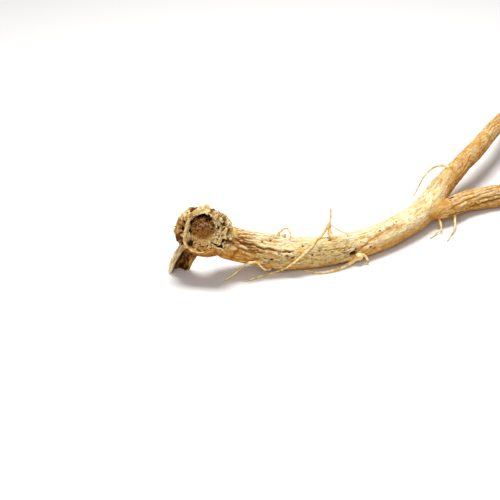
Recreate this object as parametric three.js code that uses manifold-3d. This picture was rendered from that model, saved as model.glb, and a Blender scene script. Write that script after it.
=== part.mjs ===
// One dried astragalus root, lying on its belly: a knobbly crown with the round scar of a cut
// stem and a broken hollow stub under it, a plump body, and a fork into two tapering branches.
import * as THREE from "three";
import { mergeVertices } from "three/addons/utils/BufferGeometryUtils.js";
import Module from "manifold-3d";

// Driving dimensions in millimetres. Points are measured from the middle of the belly, on the
// surface that the root lies on, and ORIGIN_SHIFT moves the whole root over its own middle.
const ORIGIN_SHIFT = [-134.8, 7.8, 0];
const CROWN_CENTRE = [-37.5, 23, 26];
const CROWN_FACING = [-0.742, -0.53, 0.41];
const CROWN_RADIUS = 12.6;
const CROWN_DEPTH = 8.5;
const SCAR_RADIUS = 10;
const SCAR_FLOOR = 4.2;
const SCAR_LIFT = 1.2;
const STUMP_RADIUS = 7.2;
const STUMP_TOP = 6.0;
const STUMP_DEPTH = 8;
const CUTTER_LENGTH = 12;
const FLAP_SIZE = [5.4, 3.4, 1.4];
const FLAP_REACH = 13.2;
const FLAP_ANGLE = 98;
const FLAP_FORWARD = 4;
const KNOB_CENTRE = [31.5, -25.5, 5.2];
const KNOB_RADIUS = 2.8;
const UNDERSIDE_LENGTH = 800;
const UNDERSIDE_DEPTH = 20;
const BARK_COLOUR = 0xcdb389;
const BARK_ROUGHNESS = 0.85;

// Each station of a limb is x, y, z and the radius there.
const MAIN_LIMB = [
  [-38, 23.5, 27, 9.5],
  [-28.5, 18.5, 20, 9.6],
  [-22, 14.5, 16.3, 9.4],
  [-15, 10.2, 13.3, 9.6],
  [-7.4, 4.4, 10.8, 9.7],
  [-0.6, -0.6, 9.2, 9.5],
  [6, -5.6, 8.5, 9],
  [20, -14.8, 8, 8.3],
  [38, -20.6, 7.6, 7.8],
  [53.5, -23.4, 7.7, 7.7],
  [71, -24.4, 8.4, 7.6],
  [90, -23.6, 9.6, 7.6],
  [105, -20.6, 11.2, 7.5],
  [118, -16.4, 13.2, 6.9],
  [131.5, -12.8, 15.4, 6.4],
  [144, -10.3, 17.6, 6.2],
  [157, -7.9, 19.6, 6.1],
  [172.5, -5, 21.5, 6],
  [190.5, 0, 22.8, 5.8],
  [210, 6, 22.8, 5.5],
  [229, 13, 20.6, 5.1],
  [247, 20, 16.4, 4.7],
  [265, 25.5, 11.2, 4.2],
  [283, 28, 6.6, 3.6],
  [300, 27.5, 3.4, 2.9],
  [312, 25.2, 1.9, 2.1],
  [320, 22.5, 1.2, 1.1],
];
const SIDE_LIMB = [
  [92, -24, 9.4, 5],
  [103, -27.8, 8.6, 5.7],
  [113, -29.4, 8, 5.9],
  [125.5, -30, 7.6, 6.1],
  [138, -33.4, 7.2, 6.5],
  [151, -39, 6.8, 6.7],
  [167, -47, 6.3, 6.3],
  [188, -53.6, 5.1, 5.4],
  [213, -55, 3.6, 4],
  [231, -51.6, 2, 2.4],
  [240, -48.6, 1.2, 1.2],
];
const STUB_LIMB = [
  [-39, 27, 24, 6.5],
  [-41.3, 31, 17, 6.6],
  [-43, 34.3, 10.5, 6.5],
  [-44.3, 37, 4, 6.2],
  [-44.8, 38.4, -1.5, 5.8],
];
const STUB_HOLLOW = [
  [-43.4, 29.6, 14.5, 2.2],
  [-45.6, 32, 9.5, 4],
  [-47.2, 34.2, 3.5, 4.8],
  [-48, 35.4, -4, 5],
];

// The lumps around the crown: angle seen from the front, reach, size and forward place.
const RIM_LUMPS = [
  [186, 13.2, 3.7, 0.5],
  [161, 12.9, 4, 2],
  [136, 12.6, 4.1, 3],
  [112, 12, 3.4, 3],
  [70, 10.6, 3.2, 3],
  [44, 11.8, 3.9, 2.5],
  [20, 12.7, 3.6, 1.5],
  [-7, 12.9, 3.8, 0.5],
  [-34, 11.2, 3.8, 0.5],
  [-62, 9.8, 3.8, 1],
  [-90, 9.2, 4, 1.5],
  [-118, 9.4, 3.8, 1.5],
  [-146, 10.6, 3.6, 1.2],
  [-168, 12.2, 3.5, 0.8],
];

// How finely each shape is divided.
const BODY_SIDES = 18;
const BODY_RINGS = 84;
const BRANCH_SIDES = 14;
const BRANCH_RINGS = 32;
const STUB_SIDES = 16;
const STUB_RINGS = 8;
const ROUND_SIDES = 24;
const LUMP_DETAIL = 1;
const LUMP_STRETCH = [0.9, 1, 1.2];

const UP = new THREE.Vector3(0, 0, 1);
const SIDEWAYS = new THREE.Vector3(1, 0, 0);

const wasm = await Module();
wasm.setup();

// A closed geometry as a solid that can be joined and cut.
function solidOf(geometry) {
  geometry.deleteAttribute("normal");
  geometry.deleteAttribute("uv");
  const merged = mergeVertices(geometry);
  const mesh = new wasm.Mesh({
    numProp: 3,
    vertProperties: merged.attributes.position.array,
    triVerts: new Uint32Array(merged.index.array),
  });
  return new wasm.Manifold(mesh);
}

// A solid as a geometry.
function geometryOf(solid) {
  const mesh = solid.getMesh();
  const geometry = new THREE.BufferGeometry();
  geometry.setAttribute("position", new THREE.BufferAttribute(mesh.vertProperties, 3));
  geometry.setIndex(new THREE.BufferAttribute(mesh.triVerts, 1));
  geometry.computeVertexNormals();
  return geometry;
}

// The slow swell and the flattened sides of a dried root, as a share of its radius.
function lobes(angle, along) {
  const flat = 0.035 * Math.cos(2 * angle + 5 * along);
  const ridge = 0.03 * Math.cos(3 * angle - 9 * along + 1);
  const wrinkle = 0.012 * Math.cos(5 * angle + 23 * along);
  return flat + ridge + wrinkle;
}

// A limb is a cylinder whose rings follow the stations.
function limb(stations, sides, rings, reference) {
  const path = new THREE.CatmullRomCurve3(stations.map(([x, y, z]) => new THREE.Vector3(x, y, z)));
  const girthPoints = stations.map(([, , , radius]) => new THREE.Vector3(radius, 0, 0));
  const girth = new THREE.CatmullRomCurve3(girthPoints, false, "catmullrom");
  const tube = new THREE.CylinderGeometry(1, 1, 1, sides, rings);
  const position = tube.attributes.position;
  const place = new THREE.Vector3();
  for (let i = 0; i < position.count; i += 1) {
    const along = THREE.MathUtils.clamp(position.getY(i) + 0.5, 0, 1);
    const tangent = path.getTangent(along);
    const side = new THREE.Vector3().crossVectors(tangent, reference).normalize();
    const lift = new THREE.Vector3().crossVectors(side, tangent);
    const angle = Math.atan2(-position.getX(i), position.getZ(i));
    const radius = girth.getPoint(along).x * (1 + lobes(angle, along));
    place.copy(path.getPoint(along));
    place.addScaledVector(side, radius * position.getZ(i));
    place.addScaledVector(lift, -radius * position.getX(i));
    position.setXYZ(i, place.x, place.y, place.z);
  }
  return solidOf(tube);
}

// The crown's own frame: X to its right, Y up its face, Z out of the scar.
function crownFrame() {
  const facing = new THREE.Vector3(...CROWN_FACING).normalize();
  const right = new THREE.Vector3().crossVectors(UP, facing).normalize();
  const upward = new THREE.Vector3().crossVectors(facing, right);
  const frame = new THREE.Matrix4().makeBasis(right, upward, facing);
  frame.setPosition(...CROWN_CENTRE);
  return frame;
}

const CROWN_FRAME = crownFrame();

// A round plug across the crown's face, from one depth to another.
function facePlug(radius, bottom, top) {
  const plug = new THREE.CylinderGeometry(radius, radius, top - bottom, ROUND_SIDES);
  plug.rotateX(Math.PI / 2);
  plug.translate(0, SCAR_LIFT, (top + bottom) / 2);
  plug.applyMatrix4(CROWN_FRAME);
  return solidOf(plug);
}

// A lump on the crown's rim, a little longer than it is wide.
function rimLump([degrees, reach, size, forward]) {
  const angle = THREE.MathUtils.degToRad(degrees);
  const lump = new THREE.IcosahedronGeometry(size, LUMP_DETAIL);
  lump.scale(...LUMP_STRETCH);
  lump.rotateZ(angle);
  lump.translate(reach * Math.cos(angle), reach * Math.sin(angle), forward);
  lump.applyMatrix4(CROWN_FRAME);
  return solidOf(lump);
}

// The torn flap of bark that stands up over the scar.
function barkFlap() {
  const angle = THREE.MathUtils.degToRad(FLAP_ANGLE);
  const flap = new THREE.IcosahedronGeometry(1, LUMP_DETAIL);
  flap.scale(...FLAP_SIZE);
  flap.translate(FLAP_REACH * Math.cos(angle), FLAP_REACH * Math.sin(angle), FLAP_FORWARD);
  flap.applyMatrix4(CROWN_FRAME);
  return solidOf(flap);
}

// The crown: a squat round head, its lumps, and the recessed scar with the stem's stump in it.
function crown() {
  const ball = new THREE.SphereGeometry(1, ROUND_SIDES, ROUND_SIDES / 2);
  ball.scale(CROWN_RADIUS, CROWN_RADIUS, CROWN_DEPTH);
  ball.applyMatrix4(CROWN_FRAME);
  let head = solidOf(ball);
  for (const lump of RIM_LUMPS) {
    head = head.add(rimLump(lump));
  }
  head = head.add(barkFlap());
  head = head.subtract(facePlug(SCAR_RADIUS, SCAR_FLOOR, SCAR_FLOOR + CUTTER_LENGTH));
  return head.add(facePlug(STUMP_RADIUS, STUMP_TOP - STUMP_DEPTH, STUMP_TOP));
}

// The small knob on the body where fine rootlets grew.
function rootletKnob() {
  const knob = new THREE.IcosahedronGeometry(KNOB_RADIUS, LUMP_DETAIL);
  knob.translate(...KNOB_CENTRE);
  return solidOf(knob);
}

// Everything below the surface that the root lies on, which leaves its resting spots flat.
function underside() {
  const block = new THREE.BoxGeometry(UNDERSIDE_LENGTH, UNDERSIDE_LENGTH, UNDERSIDE_DEPTH);
  block.translate(0, 0, -UNDERSIDE_DEPTH / 2);
  return solidOf(block);
}

function rootGeometry() {
  let root = limb(MAIN_LIMB, BODY_SIDES, BODY_RINGS, UP);
  root = root.add(limb(SIDE_LIMB, BRANCH_SIDES, BRANCH_RINGS, UP));
  root = root.add(limb(STUB_LIMB, STUB_SIDES, STUB_RINGS, SIDEWAYS));
  root = root.add(crown());
  root = root.add(rootletKnob());
  root = root.subtract(limb(STUB_HOLLOW, STUB_SIDES, STUB_RINGS, SIDEWAYS));
  root = root.subtract(underside());
  return geometryOf(root);
}

const bark = new THREE.MeshStandardMaterial({
  color: BARK_COLOUR,
  roughness: BARK_ROUGHNESS,
  metalness: 0,
});
const astragalusRoot = new THREE.Mesh(rootGeometry(), bark);
astragalusRoot.name = "astragalus_root";
astragalusRoot.position.set(...ORIGIN_SHIFT);

const part = new THREE.Group();
part.add(astragalusRoot);

export default part;
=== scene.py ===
# The looks of one dried astragalus root: furrowed bark, a knobbly crown with the scar of a cut
# stem, a broken hollow stub under it, papery flaps of bark and fine rootlets.
import math

import bpy
import numpy as np
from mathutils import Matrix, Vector
from mathutils.kdtree import KDTree


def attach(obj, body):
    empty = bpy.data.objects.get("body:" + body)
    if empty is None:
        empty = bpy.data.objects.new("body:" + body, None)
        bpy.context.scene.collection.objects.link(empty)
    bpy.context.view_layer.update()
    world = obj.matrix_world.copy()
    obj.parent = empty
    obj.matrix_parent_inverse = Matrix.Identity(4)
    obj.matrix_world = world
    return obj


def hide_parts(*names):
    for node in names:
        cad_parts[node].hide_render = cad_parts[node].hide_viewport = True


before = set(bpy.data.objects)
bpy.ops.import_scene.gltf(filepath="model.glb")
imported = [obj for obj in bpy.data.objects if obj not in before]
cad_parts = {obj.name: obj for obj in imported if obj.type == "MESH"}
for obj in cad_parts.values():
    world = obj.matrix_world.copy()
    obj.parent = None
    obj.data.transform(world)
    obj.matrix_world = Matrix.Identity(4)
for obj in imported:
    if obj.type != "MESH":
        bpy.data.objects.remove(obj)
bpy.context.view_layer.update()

# Driving sizes in millimetres, measured from the middle of the belly, as in the solid model.
METRES = 0.001
ORIGIN_SHIFT = np.array([-134.8, 7.8, 0.0])
CROWN_CENTRE = np.array([-37.5, 23.0, 26.0])
CROWN_FACING = np.array([-0.742, -0.53, 0.41])
CROWN_DEPTH = 8.5

# Each station of a limb is x, y, z and the radius there.
MAIN_LIMB = [
    (-38, 23.5, 27, 9.5), (-28.5, 18.5, 20, 9.6), (-22, 14.5, 16.3, 9.4), (-15, 10.2, 13.3, 9.6),
    (-7.4, 4.4, 10.8, 9.7), (-0.6, -0.6, 9.2, 9.5), (6, -5.6, 8.5, 9), (20, -14.8, 8, 8.3),
    (38, -20.6, 7.6, 7.8), (53.5, -23.4, 7.7, 7.7), (71, -24.4, 8.4, 7.6), (90, -23.6, 9.6, 7.6),
    (105, -20.6, 11.2, 7.5), (118, -16.4, 13.2, 6.9), (131.5, -12.8, 15.4, 6.4),
    (144, -10.3, 17.6, 6.2), (157, -7.9, 19.6, 6.1), (172.5, -5, 21.5, 6), (190.5, 0, 22.8, 5.8),
    (210, 6, 22.8, 5.5), (229, 13, 20.6, 5.1), (247, 20, 16.4, 4.7), (265, 25.5, 11.2, 4.2),
    (283, 28, 6.6, 3.6), (300, 27.5, 3.4, 2.9), (312, 25.2, 1.9, 2.1), (320, 22.5, 1.2, 1.1),
]
SIDE_LIMB = [
    (92, -24, 9.4, 5), (103, -27.8, 8.6, 5.7), (113, -29.4, 8, 5.9), (125.5, -30, 7.6, 6.1),
    (138, -33.4, 7.2, 6.5), (151, -39, 6.8, 6.7), (167, -47, 6.3, 6.3), (188, -53.6, 5.1, 5.4),
    (213, -55, 3.6, 4), (231, -51.6, 2, 2.4), (240, -48.6, 1.2, 1.2),
]
STUB_LIMB = [
    (-39, 27, 24, 5.4), (-41.3, 31, 17, 5.9), (-43, 34.3, 10.5, 6.0), (-44.3, 37, 4, 5.9),
    (-44.8, 38.4, -1.5, 5.7),
]

# The crown's outline seen from the front: angle in degrees and reach.
CROWN_OUTLINE = [
    (-168, 15.3), (-146, 13.7), (-118, 12.7), (-90, 12.5), (-62, 12.9), (-34, 13.5), (-7, 14.4),
    (20, 14.4), (44, 14.0), (70, 13.0), (90, 13.3), (112, 14.4), (136, 15.8), (161, 16.1), (180, 16.2),
]

UP = np.array([0.0, 0.0, 1.0])
SIDEWAYS = np.array([1.0, 0.0, 0.0])
FULL_TURN = 2 * math.pi


# Numbers and noise

def unit(vectors):
    return vectors / np.linalg.norm(vectors, axis=-1, keepdims=True)


def smooth_step(low, high, value):
    share = np.clip((value - low) / (high - low), 0, 1)
    return share * share * (3 - 2 * share)


def band(low, rise, fall, high, value):
    """0 below low, 1 from rise to fall, 0 above high."""
    return smooth_step(low, rise, value) * (1 - smooth_step(fall, high, value))


def wrapped(angle):
    """The same angle between minus half a turn and half a turn."""
    return (angle + math.pi) % FULL_TURN - math.pi


def arc_of(turn, first, last):
    """1 between two angles given in degrees, 0 elsewhere, soft at the ends."""
    half = math.radians(0.5 * (last - first))
    away = np.abs(wrapped(turn - math.radians(0.5 * (first + last)))) / half
    return 1 - smooth_step(0.7, 1.05, away)


LATTICE = 256
NOISE_GAIN = 1.6
LAYER_SHIFT = 17.3
JITTER_COUNT = 4096
CELL_STRIDES = np.array([73, 179, 283])


class Noise:
    """Smooth gradient noise in space, the same on every run."""

    def __init__(self, seed):
        generator = np.random.default_rng(seed)
        order = generator.permutation(LATTICE)
        self.order = np.concatenate([order, order, order])
        self.slopes = unit(generator.normal(size=(LATTICE, 3)))

    def at(self, places):
        """The noise at each place, mostly between -1 and 1."""
        cell = np.floor(places).astype(int)
        inside = places - cell
        cell = cell % LATTICE
        fade = inside**3 * (inside * (inside * 6 - 15) + 10)
        total = np.zeros(len(places))
        for corner in range(8):
            step = np.array([corner & 1, corner >> 1 & 1, corner >> 2 & 1])
            x, y, z = ((cell + step) % LATTICE).T
            slope = self.slopes[self.order[self.order[self.order[x] + y] + z]]
            weight = np.prod(np.where(step == 1, fade, 1 - fade), axis=1)
            total += weight * np.sum(slope * (inside - step), axis=1)
        return total * NOISE_GAIN

    def layered(self, places, layers):
        """Noise with finer and fainter layers on top."""
        total = np.zeros(len(places))
        for layer in range(layers):
            total += self.at(places * 2.0**layer + LAYER_SHIFT * layer) / 2.0**layer
        return total


def creases(values, width):
    """Lines where the noise crosses zero: 1 on the line, 0 away from it."""
    return np.exp(-((values / width) ** 2))


def cells(places, seed):
    """Rounded cells: 1 in the middle of each, falling to 0 where it meets the next."""
    generator = np.random.default_rng(seed)
    jitter = generator.random((JITTER_COUNT, 3))
    home = np.floor(places).astype(int)
    nearest = np.full(len(places), 9.0)
    for x in (-1, 0, 1):
        for y in (-1, 0, 1):
            for z in (-1, 0, 1):
                cell = home + np.array([x, y, z])
                index = (cell @ CELL_STRIDES) % JITTER_COUNT
                gap = np.linalg.norm(cell + jitter[index] - places, axis=1)
                nearest = np.minimum(nearest, gap)
    return 1 - np.clip(nearest, 0, 1)


# Limbs: a smooth line through the stations and a round, slightly lobed section along it

LINE_SAMPLES = 4001
TANGENT_STEP = 1e-4


def through_points(points, share):
    """A centripetal spline through the points, at shares from 0 to 1 of the stations."""
    spot = np.clip(share, 0, 1) * (len(points) - 1)
    first = np.minimum(np.floor(spot).astype(int), len(points) - 2)
    weight = (spot - first)[:, None]
    longer = np.vstack([2 * points[0] - points[1], points, 2 * points[-1] - points[-2]])
    p0, p1, p2, p3 = (longer[first + k] for k in range(4))
    d0, d1, d2 = (np.sqrt(np.linalg.norm(a - b, axis=1))[:, None] for a, b in ((p1, p0), (p2, p1), (p3, p2)))
    t1 = ((p1 - p0) / d0 - (p2 - p0) / (d0 + d1) + (p2 - p1) / d1) * d1
    t2 = ((p2 - p1) / d1 - (p3 - p1) / (d1 + d2) + (p3 - p2) / d2) * d1
    cubic = 2 * p1 - 2 * p2 + t1 + t2
    square = -3 * p1 + 3 * p2 - 2 * t1 - t2
    return p1 + t1 * weight + square * weight**2 + cubic * weight**3


def through_values(values, share):
    """A plain spline through numbers, at the same shares."""
    spot = np.clip(share, 0, 1) * (len(values) - 1)
    first = np.minimum(np.floor(spot).astype(int), len(values) - 2)
    weight = spot - first
    longer = np.concatenate([[2 * values[0] - values[1]], values, [2 * values[-1] - values[-2]]])
    v0, v1, v2, v3 = (longer[first + k] for k in range(4))
    t1 = (v2 - v0) / 2
    t2 = (v3 - v1) / 2
    cubic = 2 * v1 - 2 * v2 + t1 + t2
    square = -3 * v1 + 3 * v2 - 2 * t1 - t2
    return v1 + t1 * weight + square * weight**2 + cubic * weight**3


def lobes(angle, share):
    """The slow swell and the flattened sides of a dried root, as a share of its radius."""
    flat = 0.035 * np.cos(2 * angle + 5 * share)
    ridge = 0.03 * np.cos(3 * angle - 9 * share + 1)
    wrinkle = 0.012 * np.cos(5 * angle + 23 * share)
    return flat + ridge + wrinkle


class Limb:
    """A smooth limb that is measured by the length along its middle."""

    def __init__(self, stations, reference=UP):
        table = np.array(stations, dtype=float)
        self.points = table[:, :3]
        self.radii = table[:, 3]
        self.reference = reference
        self.shares = np.linspace(0, 1, LINE_SAMPLES)
        line = through_points(self.points, self.shares)
        steps = np.linalg.norm(np.diff(line, axis=0), axis=1)
        self.lengths = np.concatenate([[0], np.cumsum(steps)])
        self.length = self.lengths[-1]

    def section(self, arc):
        """Where the limb is at these lengths: share, centre, two directions across and radius."""
        share = np.interp(arc, self.lengths, self.shares)
        centre = through_points(self.points, share)
        ahead = through_points(self.points, np.clip(share + TANGENT_STEP, 0, 1))
        behind = through_points(self.points, np.clip(share - TANGENT_STEP, 0, 1))
        tangent = unit(ahead - behind)
        side = unit(np.cross(tangent, self.reference))
        lift = np.cross(side, tangent)
        return share, centre, side, lift, through_values(self.radii, share)

    def surface(self, arc, angle, relief=0.0, thin=1.0):
        """Places on the skin, and the directions out of it."""
        share, centre, side, lift, radius = self.section(arc)
        out = side * np.cos(angle)[:, None] + lift * np.sin(angle)[:, None]
        reach = radius * (1 + lobes(angle, share)) * thin + relief
        return centre + out * reach[:, None], out

    def spot(self, arc, degrees, lift=0.0):
        """One place on the skin, or that far above it."""
        place, _ = self.surface(np.array([float(arc)]), np.array([math.radians(degrees)]), lift)
        return place[0]


main_limb = Limb(MAIN_LIMB)
side_limb = Limb(SIDE_LIMB)
stub_limb = Limb(STUB_LIMB, SIDEWAYS)

# Meshes

# Shares from 0 to 1 at each point of the bark, which its material reads.
MASKS = (
    "groove", "pit", "cream", "grey", "amber", "crown", "heart", "fleck", "tone_and_shade",
    "hollow", "edge", "seam",
)


def blank_masks(count):
    return {name: np.zeros(count) for name in MASKS}


def raise_mask(masks, name, values):
    """Raise a mask to these values where it is lower."""
    masks[name] = np.maximum(masks[name], values)


def above_floor(places, lowest=0.0):
    places[:, 2] = np.maximum(places[:, 2], lowest)
    return places


def ring_faces(rings, sides):
    """Quads between rings, and a fan at each end."""
    faces = []
    for ring in range(rings - 1):
        for k in range(sides):
            a = ring * sides + k
            b = ring * sides + (k + 1) % sides
            faces.append((a, a + sides, b + sides, b))
    first = rings * sides
    last = first + 1
    end = (rings - 1) * sides
    for k in range(sides):
        faces.append((first, k, (k + 1) % sides))
        faces.append((last, end + (k + 1) % sides, end + k))
    return faces


def make_object(name, places, faces):
    """An object in metres from places in millimetres."""
    mesh = bpy.data.meshes.new(name)
    metres = (places + ORIGIN_SHIFT) * METRES
    mesh.from_pydata(metres.tolist(), [], faces)
    mesh.update()
    mesh.polygons.foreach_set("use_smooth", [True] * len(mesh.polygons))
    made = bpy.data.objects.new(name, mesh)
    bpy.context.scene.collection.objects.link(made)
    return made


def places_of(mesh):
    flat = np.empty(len(mesh.vertices) * 3)
    mesh.vertices.foreach_get("co", flat)
    return flat.reshape(-1, 3) / METRES - ORIGIN_SHIFT


def store_masks(mesh, masks, grain):
    for name in MASKS:
        layer = mesh.attributes.new(name, "FLOAT", "POINT")
        layer.data.foreach_set("value", np.clip(masks[name], 0, 1).astype(np.float32))
    layer = mesh.attributes.new("grain", "FLOAT_VECTOR", "POINT")
    layer.data.foreach_set("vector", (grain * METRES).astype(np.float32).ravel())


# Bark relief. An angle of 0 faces the camera's side and a quarter turn is up.

bark_noise = Noise(11)
fine_noise = Noise(12)
crown_noise = Noise(13)


def grain_of(arc, angle, radius):
    """Coordinates that run along the root's fibres."""
    return np.stack([radius * np.cos(angle), radius * np.sin(angle), arc], axis=1)


def line_cut(arc, angle, radius, path, width, depth):
    """A furrow along a path of (length, degrees) points, tapering at both ends."""
    lengths = np.array([point[0] for point in path], dtype=float)
    turns = np.radians([point[1] for point in path])
    first = lengths[0]
    last = lengths[-1]
    wobble = 0.03 * np.sin(arc * 0.55 + first) + 0.02 * np.sin(arc * 1.3 + last)
    away = wrapped(angle - np.interp(arc, lengths, turns) - wobble) * radius
    return depth * band(first - 1, first + 3, last - 6, last + 1, arc) * creases(away, width)


def dent(arc, angle, radius, spot, power):
    """A round or oval hollow: (length, degrees, half length, half width), 1 in its middle."""
    length, degrees, long_half, cross_half = spot
    along = (arc - length) / long_half
    across = wrapped(angle - math.radians(degrees)) * radius / cross_half
    return np.exp(-((along**2 + across**2) ** (power / 2)))


def common_bark(grain, strength):
    """What all the bark has: slow swells, winding furrows along the grain and fine unevenness."""
    coarse = grain / 8.0
    bend = np.stack([bark_noise.at(coarse + 5), bark_noise.at(coarse + 25), 0 * coarse[:, 0]], axis=1)
    winding = grain + 1.5 * bend
    swell = 0.4 * bark_noise.at(grain / np.array([6.5, 6.5, 40]))
    wide = creases(bark_noise.at(winding / np.array([3.0, 3.0, 17]) + 40), 0.3)
    narrow = creases(fine_noise.at(winding / np.array([1.7, 1.7, 8]) + 80), 0.34)
    across = creases(fine_noise.at(grain / np.array([4, 4, 1.5]) + 120), 0.18)
    gate = smooth_step(-0.25, 0.3, bark_noise.at(grain / np.array([8, 8, 18]) + 60))
    kept = 0.35 + 0.65 * gate
    fine = fine_noise.layered(grain / np.array([1.3, 1.3, 2.4]) + 150, 2)
    cut = strength * (0.42 * wide * kept + 0.22 * narrow) + 0.12 * across * gate
    groove = strength * (0.5 * wide * kept + 0.3 * narrow)
    return swell + 0.1 * fine - cut, groove


class Bark:
    """One limb's skin while its relief and masks build up."""

    def __init__(self, arc, angle, radius, grain, strength):
        self.arc = arc
        self.angle = angle
        self.radius = radius
        self.relief, groove = common_bark(grain, strength)
        self.masks = blank_masks(len(arc))
        self.masks["groove"] = groove

    def paint(self, name, values):
        """Raise a mask to these values where it is lower."""
        raise_mask(self.masks, name, values)

    def cut(self, depth, darkness=0.0):
        """Lower the surface, and darken the cut by a share of its depth as painted shade."""
        self.relief -= depth
        self.masks["groove"] += darkness * depth

    def furrow(self, path, width, depth):
        return line_cut(self.arc, self.angle, self.radius, path, width, depth)

    def hollow(self, spot, power=3.0):
        return dent(self.arc, self.angle, self.radius, spot, power)

    def pits(self, spots, depth, darkness=1.0):
        for spot in spots:
            share = self.hollow(spot)
            self.relief -= depth * share
            # Painted shade in the pit.
            self.paint("pit", darkness * share)

    def random_furrows(self, seed, count, span, depths, widths, lengths):
        """The depth of long tapering furrows at random places."""
        generator = np.random.default_rng(seed)
        total = np.zeros(len(self.arc))
        for _ in range(count):
            start = generator.uniform(*span)
            long = generator.uniform(*lengths)
            turn = generator.uniform(0, FULL_TURN)
            drift = generator.uniform(-0.012, 0.012)
            depth = generator.uniform(*depths)
            width = generator.uniform(*widths)
            phase = generator.uniform(0, FULL_TURN)
            pace = generator.uniform(0.15, 0.4)
            near = (self.arc > start) & (self.arc < start + long)
            along = self.arc[near] - start
            middle = turn + drift * along + 0.06 * np.sin(pace * self.arc[near] + phase)
            away = wrapped(self.angle[near] - middle) * self.radius[near]
            taper = np.sin(math.pi * (along / long)) ** 0.6
            total[near] += depth * taper * creases(away, width)
        return total

    def random_dents(self, seed, count, span, sizes, stretch, depths):
        """Cut small hollows at random places, and return 1 in their middles, 0 outside."""
        generator = np.random.default_rng(seed)
        cut = np.zeros(len(self.arc))
        mask = np.zeros(len(self.arc))
        for _ in range(count):
            length = generator.uniform(*span)
            degrees = generator.uniform(0, 360)
            size = generator.uniform(*sizes)
            long_half = size * generator.uniform(*stretch)
            near = np.abs(self.arc - length) < 3 * long_half
            spot = (length, degrees, long_half, size)
            share = dent(self.arc[near], self.angle[near], self.radius[near], spot, 3.0)
            cut[near] += generator.uniform(*depths) * share
            mask[near] = np.maximum(mask[near], share)
        self.relief -= cut
        return mask


# The main limb: paths are (length, degrees) points, spots are (length, degrees, half length,
# half width)

MAIN_GROOVE = [(12, 30), (16, 37), (22, 36), (27, 37), (33, 34), (39, 34), (43, 31), (54, 32)]
GROOVE_LIP_DEGREES = 10
# Furrows that spread from the crown: path, half width and depth.
CROWN_FURROWS = [
    ([(9, 48), (14, 56), (22, 78), (34, 92)], 0.4, 0.75),
    ([(9, 40), (14, 45), (23, 61), (29, 64)], 0.36, 0.8),
    ([(10, 34), (15, 41), (22, 50), (32, 48)], 0.34, 0.7),
    ([(10, 22), (16, 27), (23, 27), (31, 30)], 0.36, 0.75),
    ([(11, 10), (18, 14), (30, 20), (38, 17)], 0.4, 0.55),
    ([(12, -8), (20, -6), (34, 4)], 0.6, 0.3),
    ([(12, -30), (22, -24), (40, -22)], 0.6, 0.35),
    ([(9, 66), (13, 72), (20, 90), (30, 100)], 0.36, 0.7),
    ([(9, 100), (18, 108), (33, 112)], 0.4, 0.6),
    ([(9, 128), (20, 134), (38, 130)], 0.6, 0.5),
    ([(9, 160), (24, 150), (36, 158)], 0.6, 0.45),
    ([(10, 190), (24, 200), (44, 196)], 0.6, 0.5),
    ([(10, 225), (22, 232), (40, 238)], 0.6, 0.5),
    ([(10, 262), (24, 270), (38, 275)], 0.6, 0.4),
]
YELLOW_VALLEY = [(80, -2), (86, 6), (91, 18), (97, 36), (104, 50), (112, 54), (122, 42)]
MAIN_PITS = [
    (33, 60, 0.9, 0.7), (38, 74, 0.8, 0.6), (57, 56, 0.9, 0.7), (39.5, 2, 0.9, 0.6),
    (47.5, 18, 1.3, 0.5), (49, 31, 1.1, 0.6), (51, 13, 1.2, 0.5), (86, 16, 0.8, 0.7),
    (95.5, 8, 0.8, 0.6), (73, 80, 1.3, 0.7), (62, 20, 0.6, 0.6), (66, 34, 0.6, 0.5),
    (105, 64, 0.8, 0.5), (119, 70, 0.8, 0.4),
]
AMBER_HALO = (74, 80, 4.5, 2.6)
KNOB_CAVITY = (84.8, -3, 2.3, 1.5)
KNOB = (88.5, -28, 2.6, 2.4)
NUB = (75.5, 92, 1.6, 1.4)
CRACK_LENGTH = 18.2
CRACK_WIDTH = 0.42
FORK_LENGTH = 165


def main_relief(arc, angle, radius, grain):
    strength = 0.6 + 0.55 * (1 - smooth_step(20, 60, arc)) + 0.25 * smooth_step(120, 170, arc)
    bark = Bark(arc, angle, radius, grain, strength)
    cut_main_furrows(bark, grain)
    cut_neck_crack(bark)
    shape_main_spots(bark)
    paint_body(bark)
    paint_neck_and_leg(bark, grain)
    return bark


def cut_main_furrows(bark, grain):
    groove = bark.furrow(MAIN_GROOVE, 0.5, 1.25)
    groove *= np.clip(0.8 + 1.5 * fine_noise.at(grain / np.array([4, 4, 5]) + 200), 0.2, 1.1)
    bark.cut(groove, 1.1)
    for turn_by in (-GROOVE_LIP_DEGREES, GROOVE_LIP_DEGREES):
        lip = [(length, turn + turn_by) for length, turn in MAIN_GROOVE]
        bark.cut(-bark.furrow(lip, 0.9, 0.35))
    for path, width, depth in CROWN_FURROWS:
        bark.cut(bark.furrow(path, width, depth), 0.9)
    valley = bark.furrow(YELLOW_VALLEY, 2.0, 1.0)
    bark.cut(0.45 * valley)
    bark.cut(bark.furrow(YELLOW_VALLEY, 0.6, 0.3), 1.0)
    bark.paint("amber", 0.95 * valley)
    long_furrows = bark.random_furrows(
        seed=21, count=70, span=(25, 360), depths=(0.1, 0.32), widths=(0.35, 0.8), lengths=(14, 55))
    neck_furrows = bark.random_furrows(
        seed=22, count=44, span=(8, 26), depths=(0.2, 0.55), widths=(0.22, 0.4), lengths=(10, 28))
    bark.cut(long_furrows, 0.9)
    bark.cut(neck_furrows, 0.8)


def cut_neck_crack(bark):
    """The fine crack that runs round the front of the neck."""
    away = bark.arc - CRACK_LENGTH - 0.8 * np.sin(bark.angle * 5)
    crack = creases(away, CRACK_WIDTH) * band(-0.72, -0.5, 0.2, 0.36, bark.angle)
    bark.relief -= 0.5 * crack
    bark.masks["groove"] += 0.8 * crack


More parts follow.
